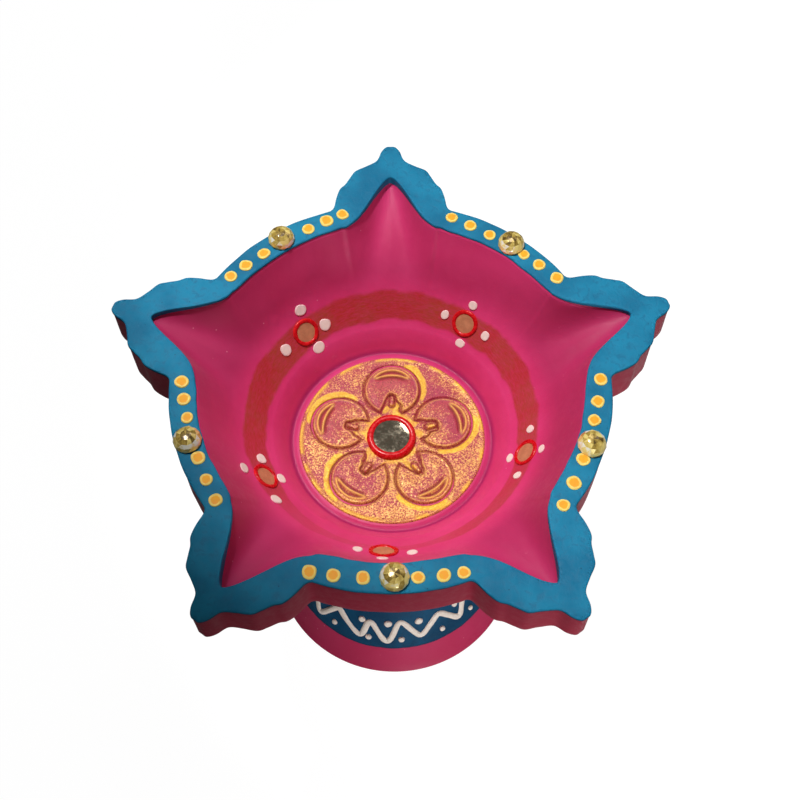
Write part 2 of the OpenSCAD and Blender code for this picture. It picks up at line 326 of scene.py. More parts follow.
class Finish:
    """A material and short ways to add nodes to it."""

    def __init__(self, name, **fixed):
        self.material = bpy.data.materials.new(name)
        self.material.use_nodes = True
        self.tree = self.material.node_tree
        self.shader = self.tree.nodes["Principled BSDF"]
        self.coords = self.add("TexCoord", "Object")
        self.filled(**fixed)

    def filled(self, **values):
        """The material, with more of the shader's inputs filled in; _ in a name stands for a space."""
        for name, value in values.items():
            self.put(self.shader.inputs[name.replace("_", " ")], value)
        return self.material

    def put(self, socket, value):
        """Fills an input; a colour is linear RGBA or, as three numbers from 0 to 255, as on screen."""
        if isinstance(value, bpy.types.NodeSocket):
            self.tree.links.new(value, socket)
        else:
            screen = socket.type == "RGBA" and len(value) == 3
            socket.default_value = srgb(*value) if screen else value

    def add(self, kind, output, inputs=None, **settings):
        made = self.tree.nodes.new("ShaderNode" + kind)
        for name, value in settings.items():
            setattr(made, name, value)
        for name, value in (inputs or {}).items():
            self.put(made.inputs[name], value)
        return made.outputs[output]

    def mark(self, name):
        return self.add("Attribute", "Fac", attribute_name=name)

    def grain(self, size, detail=2, roughness=0.5, stretch=(1, 1, 1), distortion=0):
        """Noise whose blotches are about size millimetres wide."""
        place = self.add("Mapping", "Vector", {"Vector": self.coords, "Scale": stretch})
        return self.add("TexNoise", "Fac", {"Vector": place, "Scale": 1 / (size * MM), "Detail": detail,
                                            "Roughness": roughness, "Distortion": distortion})

    def cells(self, size):
        """Distance to the nearest of points about size millimetres apart."""
        return self.add("TexVoronoi", "Distance", {"Vector": self.coords, "Scale": 1 / (size * MM)})

    def span(self, value, low=0.3, high=0.7, to_low=0, to_high=1):
        """Maps value from low..high to to_low..to_high, softly and clamped."""
        return self.add("MapRange", "Result", {
            "Value": value, "From Min": low, "From Max": high, "To Min": to_low, "To Max": to_high},
            interpolation_type="SMOOTHSTEP")

    def math(self, operation, a, b):
        return self.add("Math", "Value", {0: a, 1: b}, operation=operation)

    def times(self, a, b):
        return self.math("MULTIPLY", a, b)

    def plus(self, a, b):
        return self.math("ADD", a, b)

    def mix(self, share, a, b):
        return self.add("Mix", 2, {0: share, 6: a, 7: b}, data_type="RGBA")

    def layers(self, colour, *coats):
        """A colour under coats of others, each given with the share that it covers."""
        for share, coat in coats:
            colour = self.mix(share, colour, coat)
        return colour

    def bump(self, height, depth, strength, under=None):
        """A bump of that depth in millimetres, over another one."""
        inputs = {"Height": height, "Distance": depth * MM, "Strength": strength}
        if under is not None:
            inputs["Normal"] = under
        return self.add("Bump", "Normal", inputs)


def pink_clay():
    """Matt pink paint on clay, with a translucent rust ring brushed round the inside of the bowl."""
    mat = Finish("pink_clay", Specular_IOR_Level=0.28, Sheen_Weight=0.1, Sheen_Roughness=0.35)
    broad = mat.grain(13, 3, 0.55)
    sponge = mat.grain(1.5, 4, 0.6)
    grit = mat.grain(0.35, 2, 0.6)
    scuff = mat.times(mat.span(mat.grain(4, 5, 0.7, (1, 1, 2.5)), 0.64, 0.72),
                      mat.span(mat.grain(0.7, 3, 0.6), 0.48, 0.6))
    speck = mat.span(mat.cells(3.4), 0.055, 0.03)
    # the ring: one mark holds the radius on the inside of the bowl, another how thick the paint is
    uneven = mat.plus(mat.mark("inside_r"), mat.span(mat.grain(6, 3), 0.3, 0.7, -0.3, 0.3))
    ring = mat.times(mat.span(uneven, 23.9, 24.5), mat.span(uneven, 28.6, 27.9))
    ring = mat.times(ring, mat.mark("ring"))
    streak = mat.span(mat.grain(1.1, 4, 0.65, (1, 1, 5)), 0.25, 0.7, 0.62, 1)
    rust = mat.mix(mat.span(mat.grain(6, 3), 0.4, 0.65), (186, 50, 44), (178, 64, 46))
    pink = mat.layers(
        mat.mix(mat.span(broad, 0.35, 0.7), (218, 54, 113), (228, 64, 125)),
        (mat.span(sponge, 0.45, 0.75, 0, 0.25), (230, 70, 130)),
        # painted shade: the upper wall is darkened on some sides
        (mat.mark("deep"), (170, 40, 86)),
        # the outside is duller and darker, partly its own colour and partly painted shade, and rubbed
        # lighter here and there
        (mat.mark("outside"), (172, 36, 64)),
        (mat.times(scuff, 0.3), (226, 116, 146)),
        (mat.times(speck, 0.5), (236, 150, 176)),
        # painted shade: the groove round the medallion, and the floor inside it, is darkened
        (mat.times(mat.mark("groove_shade"), 0.8), (150, 22, 84)),
        (mat.times(ring, streak), rust))
    return mat.filled(Base_Color=pink, Roughness=mat.span(sponge, 0.3, 0.7, 0.42, 0.56),
                      Normal=mat.bump(sponge, 0.08, 0.6, mat.bump(grit, 0.03, 0.5)))


def blue_paint(name, lit, deep, edge):
    """Thick matt paint, mottled by a dabbing brush; the edge mark darkens it, partly the paint's own dark
    edge, partly painted shade.
    """
    mat = Finish(name, Roughness=0.6, Specular_IOR_Level=0.2)
    dabs = mat.grain(1.3, 4, 0.6, distortion=0.6)
    grit = mat.grain(0.3, 3, 0.6)
    speck = mat.span(mat.cells(2.6), 0.06, 0.03)
    blue = mat.layers(
        mat.mix(mat.span(mat.grain(8, 3)), deep, lit),
        (mat.span(dabs, 0.32, 0.5, 0.75, 0), deep),
        (mat.span(grit, 0.55, 0.8, 0, 0.3), [v + 16 for v in lit]),
        (mat.times(speck, 0.6), edge),
        # painted shade: the edge mark darkens the coat down the rim's lip, and along the coat's ends
        # partly as painted shadow
        (mat.mark("edge"), edge))
    return mat.filled(Base_Color=blue, Roughness=mat.span(dabs, 0.3, 0.7, 0.52, 0.7),
                      Normal=mat.bump(dabs, 0.16, 0.8, mat.bump(grit, 0.025, 0.5)))


def gold_relief():
    """Gold paint dusted over a pink moulding: sparse on petals, thick in pools, worn from grooves that
    are darkened as painted shade.
    """
    mat = Finish("gold_relief", Specular_IOR_Level=0.4)
    speck = mat.grain(0.3, 3, 0.75)
    coarse = mat.grain(0.8, 3, 0.7)
    broad = mat.grain(4.5, 3, 0.55)
    thick = mat.plus(mat.mark("dust"), mat.span(broad, 0.3, 0.7, -0.06, 0.06))
    thick = mat.plus(thick, mat.span(coarse, 0.3, 0.7, -0.04, 0.04))
    dust = mat.span(mat.plus(speck, thick), 0.9, 1.12)
    gold = mat.mix(mat.span(speck, 0.35, 0.68), (196, 126, 56), (248, 198, 108))
    pooled = mat.mix(mat.span(speck), (230, 168, 26), (252, 204, 62))
    face = mat.layers(
        mat.mix(mat.span(broad, 0.35, 0.65), (186, 52, 80), (198, 76, 78)),
        (mat.span(speck, 0.45, 0.33, 0, 0.85), (112, 40, 40)),
        (mat.times(dust, 0.92), gold),
        (mat.span(mat.grain(0.24, 2, 0.7), 0.46, 0.36, 0, 0.6), (126, 56, 34)),
        (mat.times(mat.mark("pool"), mat.span(coarse, 0.25, 0.5, 0.6, 1)), pooled),
        # partly painted shade: the grooves lose their gold, and their darker red stands for shade in them
        (mat.times(mat.mark("groove_shade"), 0.9), (140, 28, 44)),
        # partly painted highlight: the ridges' pale gold is dry-brushed gold and stands for light caught
        # on them
        (mat.times(mat.mark("ridge_gold_and_highlight"), mat.span(speck, 0.25, 0.5, 0.45, 1)), (250, 196, 96)),
        # partly painted shade: the medallion's side has no gold, and its darker red stands for shade
        # under the step
        (mat.mark("side"), (140, 24, 56)))
    return mat.filled(Base_Color=face, Metallic=mat.times(dust, 0.25),
                      Roughness=mat.span(speck, 0.3, 0.7, 0.62, 0.38), Normal=mat.bump(speck, 0.06, 0.8))


def mirror_glass(name, metallic, roughness, tint, cloud):
    """A small craft mirror, a little cloudy and scratched."""
    mat = Finish(name, Roughness=roughness, Metallic=metallic, Specular_IOR_Level=0.5)
    haze = mat.grain(1.2, 4, 0.7)
    dust = mat.span(mat.cells(0.7), 0.12, 0.05)
    face = mat.mix(mat.span(haze, 0.35, 0.7), tint, cloud)
    return mat.filled(Base_Color=mat.mix(mat.times(dust, 0.4), face, (210, 208, 200)),
                      Roughness=mat.span(haze, 0.4, 0.75, roughness, roughness + 0.12),
                      Normal=mat.bump(mat.grain(0.9), 0.01, 0.6))


def red_bead():
    """Glossy raised paint."""
    mat = Finish("red_bead", Roughness=0.28, Specular_IOR_Level=0.4)
    flow = mat.grain(0.8)
    return mat.filled(Base_Color=mat.mix(mat.span(flow, 0.35, 0.7), (204, 8, 20), (224, 18, 26)),
                      Roughness=mat.span(flow, 0.3, 0.7, 0.22, 0.34), Normal=mat.bump(flow, 0.04, 0.5))


def gold_stone():
    """A clear cut stone over gold foil: the foil is gold, and each facet's painted shine, from dark to
    white, stands for what it reflects.
    """
    mat = Finish("gold_stone", Roughness=0.2, Coat_Weight=1, Coat_Roughness=0.2)
    tone = mat.plus(mat.mark("tone"), mat.span(mat.grain(0.9, 2, 0.6), 0.3, 0.7, -0.1, 0.1))
    foil = mat.layers(
        # painted reflection: facets run from dark brown through gold to near white, the last a painted
        # highlight
        mat.mix(mat.span(tone, 0.05, 0.4), (104, 80, 36), (204, 170, 76)),
        (mat.span(tone, 0.35, 0.7), (255, 230, 136)),
        (mat.span(tone, 0.8, 1), (255, 252, 236)))
    return mat.filled(Base_Color=foil, Metallic=mat.span(tone, 0.2, 0.9, 0.35, 0.1))


def raised_paint(name, middle, edge, shade, roughness, spread=(0.7, 0.84)):
    """Drops and lines of raised paint, lighter where they thin out at the edge."""
    mat = Finish(name, Roughness=roughness, Specular_IOR_Level=0.35)
    cream = mat.grain(0.6, 3, 0.6)
    body = mat.mix(mat.span(cream, 0.35, 0.7), shade, middle)
    rim = mat.plus(mat.mark("rim"), mat.span(cream, 0.3, 0.7, -0.06, 0.06))
    return mat.filled(Base_Color=mat.mix(mat.span(rim, *spread), body, edge),
                      Roughness=mat.span(cream, 0.3, 0.7, roughness - 0.06, roughness + 0.08),
                      Normal=mat.bump(cream, 0.02, 0.5))


PINK = pink_clay()
BLUE = blue_paint("blue_paint", (22, 132, 170), (8, 108, 146), (6, 46, 70))
DARK_BLUE = blue_paint("band_blue", (10, 76, 112), (4, 58, 90), (4, 34, 54))
GOLD = gold_relief()
MIRROR = mirror_glass("mirror_glass", 0.84, 0.08, (140, 130, 110), (156, 146, 126))
TAN_MIRROR = mirror_glass("wall_mirror_glass", 0.25, 0.3, (204, 134, 96), (222, 154, 112))
RED = red_bead()
STONE = gold_stone()
YELLOW = raised_paint("yellow_dots", (252, 178, 16), (255, 218, 110), (255, 164, 8), 0.55, (0.58, 0.74))
WHITE = raised_paint("white_line", (252, 240, 228), (244, 224, 212), (244, 228, 214), 0.5)
DAB_WHITE = raised_paint("white_dabs", (252, 234, 222), (246, 214, 210), (248, 226, 214), 0.45)


# ---- the star bowl and the paint on its rim ----

UNDER_STEPS = 5
TOP_EDGE_R = 0.2
LOW_EDGE_R = 0.8
# The inside_r mark of what is not inside the bowl
NOT_INSIDE = 99.0
RING_MIDDLE = 26.1
GROOVE_R = 19.8
# The rust ring round the inside: [degrees, strength, share of its full width]
RING_KEYS = [
    (0, 0.95, 0.95), (30, 0.95, 1), (90, 1, 1), (180, 1, 1), (212, 0.85, 0.9), (228, 0.4, 0.6),
    (258, 0.3, 0.3), (285, 0.4, 0.35), (302, 0.65, 0.6), (335, 0.8, 0.75), (360, 0.95, 0.95),
]
# Painted shade on the upper wall, by side: [degrees, share]
UPPER_WALL_SHADE_KEYS = [(0, 0.6), (18, 0.7), (54, 0.45), (90, 0.45), (126, 0.35), (162, 0.8), (190, 0.0), (234, 0.5),
             (252, 0.0), (288, 0.0), (306, 0.7), (360, 0.6)]
# The moulded groove between the wall and the medallion: [radius, depth below the rim]
GROOVE_KEYS = [
    (22.9, 18.4), (22.0, 19.5), (21.3, 20.5), (20.75, 21.4), (20.3, 22.1), (19.95, 22.55), (19.55, 22.75),
    (19.1, 22.65), (18.7, 22.5), (18.2, 22.45),
]


def underside(column):
    """Section of the underside from the neck out to the rim slab."""
    h = column.inner - MOUTH_R
    return smooth_path([
        (NECK_R, NECK_Z), (NECK_R + 7, NECK_Z + 2.2), (29 + 0.15 * h, NECK_Z + 8),
        (34.5 + 0.55 * h, NECK_Z + 14.5), (MOUTH_R + SLAB_SEAT + h, column.slab_z)], UNDER_STEPS)


def inside_wall(column):
    """Section of the inside from the lip down to the groove round the medallion."""
    rings = 26
    wall = []
    for k in range(rings, 0, -1):
        t = k / rings
        depth = wall_depth(column.inner, column.lip, column.horn, t)
        wall.append((RING_TOP[0] + t * (column.inner - RING_TOP[0]), LAMP_H - depth))
    low = smooth_path([RING_TOP, RING_LOW, *GROOVE_KEYS], 4,
                      tuple(2 * a - b for a, b in zip(RING_TOP, RING_LOW)))
    return wall + [(r, LAMP_H - depth) for r, depth in low]


def clay_section(column):
    """Section of the clay from the neck, out under the slab, over the rim and down inside."""
    outer = column.outer - SKIN - COAT_T
    inner = column.inner + SKIN + COAT_T
    top = LAMP_H - SKIN - COAT_T
    low_z = column.slab_z + LOW_EDGE_R
    under = underside(column)
    low_edge = arc(outer - LOW_EDGE_R, low_z, LOW_EDGE_R, -90, 0, 5)
    high_edge = arc(outer - TOP_EDGE_R, top - TOP_EDGE_R, TOP_EDGE_R, 0, 90, 4)
    lip_edge = arc(inner + TOP_EDGE_R, top - TOP_EDGE_R, TOP_EDGE_R, 90, 180, 4)
    lip_end = (inner, LAMP_H - column.lip)
    return (under + line(under[-1], low_edge[0], 4) + low_edge + line(low_edge[-1], high_edge[0], 8)
            + high_edge + line(high_edge[-1], lip_edge[0], 4) + lip_edge
            + line(lip_edge[-1], lip_end, 4) + inside_wall(column))


def keyed(keys, angle):
    """The numbers that go with an angle, softly between the keys."""
    angle %= 360
    for (a, *low), (b, *high) in zip(keys, keys[1:]):
        if angle <= b:
            share = soft(angle, a, b)
            return [p + (q - p) * share for p, q in zip(low, high)]


def bowl_marks(r, inside, angle):
    """What the material needs to know at a point of the clay."""
    if not inside:
        return {"inside_r": NOT_INSIDE, "outside": 1.0}
    strength, width = keyed(RING_KEYS, angle)
    # painted shade in the groove round the medallion, and some on the floor inside it
    groove_shade = bell(r - GROOVE_R, 0.45)
    return {"inside_r": RING_MIDDLE + (r - RING_MIDDLE) / width, "ring": strength,
            "groove_shade": groove_shade if r > GROOVE_R else 0.35 + 0.65 * groove_shade,
            # painted shade on the upper wall, on some sides
            "deep": soft(r, 27.5, 32) * keyed(UPPER_WALL_SHADE_KEYS, angle)[0]}


def star_bowl(columns):
    shape = Shape("inside_r", "ring", "groove_shade", "deep", "outside")
    sections = [clay_section(column) for column in columns]
    count = len(sections[0])
    inside_from = count - len(inside_wall(columns[0]))
    rings = []
    for k in range(count):
        ring = []
        inside = k >= inside_from
        for column, section in zip(columns, sections):
            r, z = section[k]
            place = column.at(r, z)
            if 1 < k < count - 6:
                uneven = 0.08 * hand(*place, 7, 1.3) + 0.03 * hand(*place, 2.2, 4.2)
                place = column.at(r, z - 0.6 * uneven) if inside else column.at(r - abs(uneven), z)
            ring.append(shape.point(place, **bowl_marks(r, inside, column.angle)))
        rings.append(ring)
    shape.skin(rings)
    shape.cap(rings[0], (0, 0, NECK_Z), **bowl_marks(0, False, 0))
    shape.cap(rings[-1], (0, 0, FLOOR_Z), inside_r=0.0)
    shape.piece("painted_clay_bowl", PINK, "star_bowl")


def paint_section(column):
    """Closed section of the coat on the rim, as (r, z, how dark: partly painted shade), and the back of
    the coat.
    """
    outer = column.outer - SKIN
    inner = column.inner + SKIN
    top = LAMP_H - SKIN
    bend = TOP_EDGE_R + COAT_T
    around = column.at(column.outer, 0)
    foot = top - bend - 0.42 - 0.16 * hand(*around, 3.5, 9.1) - 0.1 * hand(*around, 1.2, 2.6)
    high_edge = arc(outer - bend, top - bend, bend, 0, 90, 6)
    lip_edge = arc(inner + bend, top - bend, bend, 90, 180, 6)
    lip_foot = LAMP_H - column.lip + 0.12 * hand(*around, 2.5, 5.5)
    outside = [(outer - COAT_T, foot - COAT_T / 2), (outer - COAT_T / 3, foot), (outer, foot + COAT_T)]
    lip_foot = min(lip_foot, top - bend - 1.5 * COAT_T)
    lip_end = (inner, lip_foot + COAT_T)
    lip = line(lip_edge[-1], lip_end, 3)
    lip += [lip_end, (inner + COAT_T / 3, lip_foot), (inner + COAT_T, lip_foot - COAT_T / 2)]
    # the coat's end down the outside is dark: partly the paint's own edge, partly painted shadow under it
    coat = [(r, z, 0.9) for r, z in outside]
    coat += [(r, z, 0.6 if k == 0 else 0) for k, (r, z) in enumerate(high_edge)]
    coat += [(r, z, 0) for r, z in line(high_edge[-1], lip_edge[0], 10) + lip_edge]
    # painted shade, deeper down the inside of the lip
    coat += [(r, z, 0.08 + 0.06 * k) for k, (r, z) in enumerate(lip)]
    deep = 2.2 * COAT_T
    back = [(inner + deep, lip_foot + deep), (inner + deep, top - bend), (inner + bend, top - deep),
            (outer - bend, top - deep), (outer - deep, top - bend), (outer - deep, foot + COAT_T / 2)]
    return coat, back


def rim_paint(columns):
    shape = Shape("edge")
    sections = [paint_section(column) for column in columns]
    rings = []
    for k in range(len(sections[0][0])):
        ring = []
        for column, (coat, back) in zip(columns, sections):
            r, z, dark = coat[k]
            place = column.at(r, z)
            if z > LAMP_H - 0.1:
                place.z -= 0.05 * abs(hand(*place, 4, 6.4)) + 0.03 * abs(hand(*place, 1.1, 8.2))
            ring.append(shape.point(place, edge=dark))
        rings.append(ring)
    for k in range(len(sections[0][1])):
        rings.append(shape.ring([column.at(*back[k]) for column, (coat, back) in zip(columns, sections)]))
    shape.skin(rings, closed=True)
    shape.piece("rim_paint_coat", BLUE, "rim_paint")


# ---- the foot ----

FOOT_ANGLES = [1.5 * c for c in range(240)]
# How much of the bowl's darker outside colour the foot has, partly its own colour and partly painted
# shade under the bowl
FOOT_SHADE = 0.62


def cone_r(z):
    return FOOT_R - FOOT_TAPER * z


def bezier(keys, t):
    weights = ((1 - t) ** 3, 3 * t * (1 - t) ** 2, 3 * t * t * (1 - t), t ** 3)
    return tuple(sum(w * key[i] for w, key in zip(weights, keys)) for i in (0, 1))


def foot_outside():
    waist = [(cone_r(CONE_TOP), CONE_TOP), (cone_r(CONE_TOP + 12), CONE_TOP + 12),
             (NECK_R - 5.5, NECK_Z - 12), (NECK_R, NECK_Z)]
    edge = arc(FOOT_R - 1.2, 1.2, 1.2, -90, -25, 5)
    start = (cone_r(1.6), 1.6)
    return (edge + [start] + line(start, waist[0], 12) + [bezier(waist, s / 30) for s in range(31)])


def hollow_r(z):
    level = z / HOLLOW_TOP
    return (FOOT_R - FOOT_WALL) * sqrt(max(1 - level ** 2, 0)) * (1 - HOLLOW_NARROWS * level)


def pedestal_foot():
    hollow = [(hollow_r(HOLLOW_TOP * s / 24), HOLLOW_TOP * s / 24) for s in range(23, 0, -1)]
    ring_face = [(FOOT_R - FOOT_WALL - 0.1, 0.4), (FOOT_R - FOOT_WALL + 0.4, 0.0)]
    marks = {"inside_r": NOT_INSIDE, "outside": FOOT_SHADE}

    def spot(angle, r, z):
        place = polar(angle, r, z)
        dent = 0.08 * abs(hand(*place, 9, 2.2)) + 0.03 * abs(hand(*place, 2.5, 6.1))
        return polar(angle, r - dent * soft(z, 0, 2), z)

    shape = Shape(*marks)
    rings = [shape.ring([spot(angle, r, z) for angle in FOOT_ANGLES], **marks)
             for r, z in hollow + ring_face + foot_outside()]
    shape.skin(rings)
    shape.cap(rings[0], (0, 0, HOLLOW_TOP), **marks)
    shape.cap(rings[-1], (0, 0, NECK_Z), **marks)
    shape.piece("pedestal_foot_clay", PINK, "pedestal_foot")


def foot_paint():
    """The dark blue band round the foot, with edges left uneven by the brush."""
    shape = Shape("edge")
    steps = 16
    rings = []
    for k in range(steps + 1):
        ring = []
        for angle in FOOT_ANGLES:
            around = polar(angle, FOOT_R, 0)
            low = BAND_LOW + 0.2 * (1 + hand(*around, 6, 4.4)) + 0.08 * hand(*around, 1.6, 2.9)
            high = BAND_HIGH - 0.25 * (1 + hand(*around, 7, 8.8))
            z = low + (high - low) * k / steps
            proud = BAND_COAT - 0.1 - 0.04 * abs(hand(*polar(angle, cone_r(z), z), 2, 3.3))
            if k in (0, steps):
                proud = 0.12
            # the band's lower edge is dark: partly the paint's own edge, partly painted shadow under it
            ring.append(shape.point(polar(angle, cone_r(z) + proud, z), edge=0.6 if k == 0 else 0.0))
        rings.append(ring)
    for z in (BAND_HIGH - 1, BAND_LOW + 1):
        rings.append(shape.ring([polar(angle, cone_r(z) - 0.3, z) for angle in FOOT_ANGLES]))
    shape.skin(rings, closed=True)
    shape.piece("foot_band_paint", DARK_BLUE, "foot_paint")


def on_band(angle, z, out):
    return polar(angle, cone_r(z) + BAND_COAT + out, z)


WAVES = 18
ZIGZAG_LOW, ZIGZAG_HIGH = 9.9, 15.4
LINE_D = 1.45
# Where the hand strayed from an even zigzag: [degrees, degrees further round, how much higher]
STRAYS = [
    (0, 0, 0), (235, 0, 0), (245, 5.3, 0.1), (255, 0.6, -0.4), (265, 1.2, -0.1), (275, -1.2, 0.4),
    (285, -0.3, 1.3), (295, 2.2, 0.2), (305, 3.6, 1.3), (325, 0, 0), (360, 0, 0),
]


def zigzag_centre(turn):
    """Height of the line's middle at an angle: a wave with straight flanks, drawn by hand."""
    phase = radians(WAVES * turn)
    wave = sin(phase) - 0.04 * sin(3 * phase)
    unit = polar(turn, 25, 0)
    middle, swing = (ZIGZAG_LOW + ZIGZAG_HIGH) / 2, (ZIGZAG_HIGH - ZIGZAG_LOW) / 2
    sway = 0.5 * hand(*unit, 7, 1.9)
    stretch = 1 + 0.22 * hand(*unit, 5, 3.7)
    return middle - swing * wave * stretch * 0.88 + sway


def strayed(angle):
    """Where a point of the even zigzag ends up round the foot, and how much higher it is."""
    further, higher = keyed(STRAYS, angle)
    return angle + further, higher


def zigzag_line():
    """A squeezed line of raised paint that waves round the band."""
    shape = Shape("rim")
    stations, sides = WAVES * 24, 12

    def centre(s):
        turn = 360 * s / stations
        place, higher = strayed(turn)
        return place, zigzag_centre(turn) + higher

    rings = []
    for s in range(stations):
        turn, z = centre(s)
        along = (on_band(*centre(s + 1), 0) - on_band(*centre(s - 1), 0)).normalized()
        out = polar(turn, 1, FOOT_TAPER).normalized()
        side = out.cross(along)
        here = on_band(turn, z, -0.08)
        width = LINE_D / 2 * (1 + 0.2 * hand(*here, 2.2, 5.2))
        ring = []
        for a in circle(sides):
            rise = max(sin(a), -0.35) * 0.5 * width
            place = here + side * (width * cos(a)) + out * rise
            ring.append(shape.point(place, rim=0.75 * abs(cos(a))))
        rings.append(ring)
    shape.skin(rings, closed=True)
    shape.piece("band_zigzag_line", WHITE, "zigzag_line")


# ---- drops of raised paint ----

def axes(out, along):
    """A turn that takes +Z to out and +X as near to along as it can."""
    z = out.normalized()
    x = (along - z * along.dot(z)).normalized()
    return Matrix((x, z.cross(x), z)).transposed()


# A drop's profile from its edge to its middle: [share of the radius, share of the height]
FLAT_DROP = [
    (1, 0), (1, 0.4), (0.97, 0.72), (0.91, 0.9), (0.8, 0.98), (0.68, 1), (0.5, 1.01), (0.25, 1.02),
]
ROUND_DROP = [(1, 0), (0.99, 0.3), (0.94, 0.55), (0.84, 0.76), (0.68, 0.9), (0.45, 0.98), (0.2, 1)]


DROP_SIDES = 28


def drop(shape, centre, turn, size, height, profile, dice, surface=None):
    """A drop of paint: size is its length and width, surface bends its edge to what it lies on."""
    lobes = [(dice.uniform(-0.035, 0.035), dice.uniform(0, 2 * pi)) for _ in range(3)]

    def spot(a, reach, rise):
        lump = 1 + sum(lobe * cos((i + 2) * a + start) for i, (lobe, start) in enumerate(lobes))
        flat = centre + turn @ Vector((size[0] / 2 * reach * lump * cos(a),
                                       size[1] / 2 * reach * lump * sin(a), 0))
        return (surface(flat) if surface else flat) + turn @ Vector((0, 0, rise))

    made = [shape.ring([spot(a, reach, rise * height) for a in circle(DROP_SIDES)], rim=reach)
            for reach, rise in profile]
    shape.skin(made)
    shape.cap(made[-1], spot(0, 0, profile[-1][1] * height), rim=0.0)
    shape.cap(made[0], spot(0, 0, -0.15), rim=1.0)


def outwards(place, distance, z):
    """A place moved away from the lamp's axis."""
    return polar(angle_of(place), hypot(place.x, place.y) + distance, z)


# How much further out each side's row of rim dots and each side's flower sit than in the CAD model
DOTS_OUT = (0, 0, 0.6, 0, 0)
FLOWERS_OUT = (0, 0, 0.9, 0, 0)


def rim_dots():
    dice = random.Random(11)
    for k in range(1, POINTS + 1):
        shape = Shape("rim")
        for centre, size in islands(f"rim_dots_{k}"):
            width = size.x * dice.uniform(0.98, 1.18)
            seat = outwards(centre, DOTS_OUT[k - 1], LAMP_H - 0.08)
            turn = Matrix.Rotation(dice.uniform(0, 6.28), 3, "Z")
            drop(shape, seat, turn, (width, width * dice.uniform(0.93, 1)), 0.3, FLAT_DROP, dice)
        shape.piece(f"rim_dot_drops_{k}", YELLOW, f"rim_dots_{k}")


def band_dots():
    dice = random.Random(23)
    for level in ("low", "high"):
        shape = Shape("rim")
        for centre, size in islands(f"zigzag_{level}_dots"):
            angle = strayed(angle_of(centre))[0]
            seat = polar(angle, cone_r(centre.z) + BAND_COAT - 0.14, centre.z)
            turn = axes(polar(angle, 1, FOOT_TAPER), Vector((0, 0, 1)))
            width = min(size.z, max(size.x, size.y)) * dice.uniform(0.85, 1)
            drop(shape, seat, turn, (width, width * dice.uniform(0.88, 1)), 0.5, ROUND_DROP, dice)
        shape.piece(f"band_{level}_drops", WHITE, f"zigzag_{level}_dots")


# ---- the mirrors, their beads and dabs on the wall ----

MIRROR_SIDES = 64
BEAD_STATIONS, BEAD_SIDES = 96, 14


def wall_z(r, angle):
    """Height of the bowl's wall between two tips."""
    if r <= RING_TOP[0]:
        return LAMP_H - RING_TOP[1] - (RING_TOP[0] - r) * WALL_SLOPE
    mouth = MOUTH_R + rim_lean(angle)
    return LAMP_H - wall_depth(mouth, LIP_SIDE, 0, (r - RING_TOP[0]) / (mouth - RING_TOP[0]))


def onto_wall(place):
    """The point of the bowl's wall straight below or above a place."""
    return Vector((place.x, place.y, wall_z(hypot(place.x, place.y), angle_of(place))))


def wall_turn(place):
    """A turn that stands on the wall, with +X pointing up the slope."""
    angle, r, step = angle_of(place), hypot(place.x, place.y), 0.5
    slope = (wall_z(r + step, angle) - wall_z(r - step, angle)) / (2 * step)
    return axes(polar(angle, -slope, 1), polar(angle, 1, slope))


def mirror(name, node, material, seat, turn, diameter, thick, dome, dice):
    """A round cut mirror with a ground edge, not quite round and not quite flat."""
    shape = Shape()
    nick = [dice.uniform(-0.012, 0.012) for _ in range(6)]

    def spot(a, share, height):
        r = diameter / 2 * share * (1 + sum(n * cos((i + 2) * a) for i, n in enumerate(nick)) / 2)
        return seat + turn @ Vector((r * cos(a), r * sin(a), height))

    def ring(share, height):
        return shape.ring([spot(a, share, height) for a in circle(MIRROR_SIDES)])

    face = [1 - 0.97 * (k / 8) for k in range(1, 8)]
    rings = [ring(0.985, 0), ring(0.985, thick - dome - 0.1), ring(0.96, thick - dome)]
    rings += [ring(share, thick - dome * share ** 2) for share in face]
    shape.skin(rings)
    shape.cap(rings[0], seat)
    shape.cap(rings[-1], seat + turn @ Vector((0, 0, thick)))
    shape.piece(name, material, node, 30)


def bead(name, node, seat, turn, inner, outer, top, dice, surface=None):
    """A ring of raised paint squeezed round a mirror's edge, thick and thin in turn."""
    shape = Shape()
    waves = [(dice.uniform(0.02, 0.05), dice.randint(2, 5), dice.uniform(0, 6.28)) for _ in range(4)]
    rings = [[] for _ in range(BEAD_SIDES)]
    middle, half = (inner + outer) / 2, (outer - inner) / 2
    for a in circle(BEAD_STATIONS):
        wave = sum(w * sin(n * a + p) for w, n, p in waves)
        drift = sum(w * sin((n + 1) * a - p) for w, n, p in waves) * half * 0.4
        for ring, b in zip(rings, circle(BEAD_SIDES)):
            radius = middle + drift + half * (1 + 0.7 * wave) * cos(b)
            rise = top * (1 + 0.6 * wave) * sin(b) ** 0.7 if sin(b) > 0 else -0.15
            flat = seat + turn @ Vector((radius * cos(a), radius * sin(a), 0))
            if surface and cos(b) > 0:
                flat = flat.lerp(surface(flat), soft(radius, middle, outer))
            ring.append(shape.point(flat + turn @ Vector((0, 0, rise))))
    shape.skin(rings, closed=True)
    shape.piece(name, RED, node, 50)


def centre_trim():
    dice = random.Random(5)
    low, high = box_mm("centre_mirror")
    out_high = box_mm("centre_bead")[1]
    seat = Vector((-0.1, 0, low.z))
    flat = Matrix.Identity(3)
    thick = high.z - low.z - 0.35
    mirror("centre_mirror_disc", "centre_mirror", MIRROR, seat, flat, high.x - low.x - 0.6, thick, 0.1,
           dice)
    bead("centre_mirror_bead", "centre_bead", seat, flat, CENTRE_BEAD_IN, out_high.x - SKIN, thick + 0.25,
         dice)


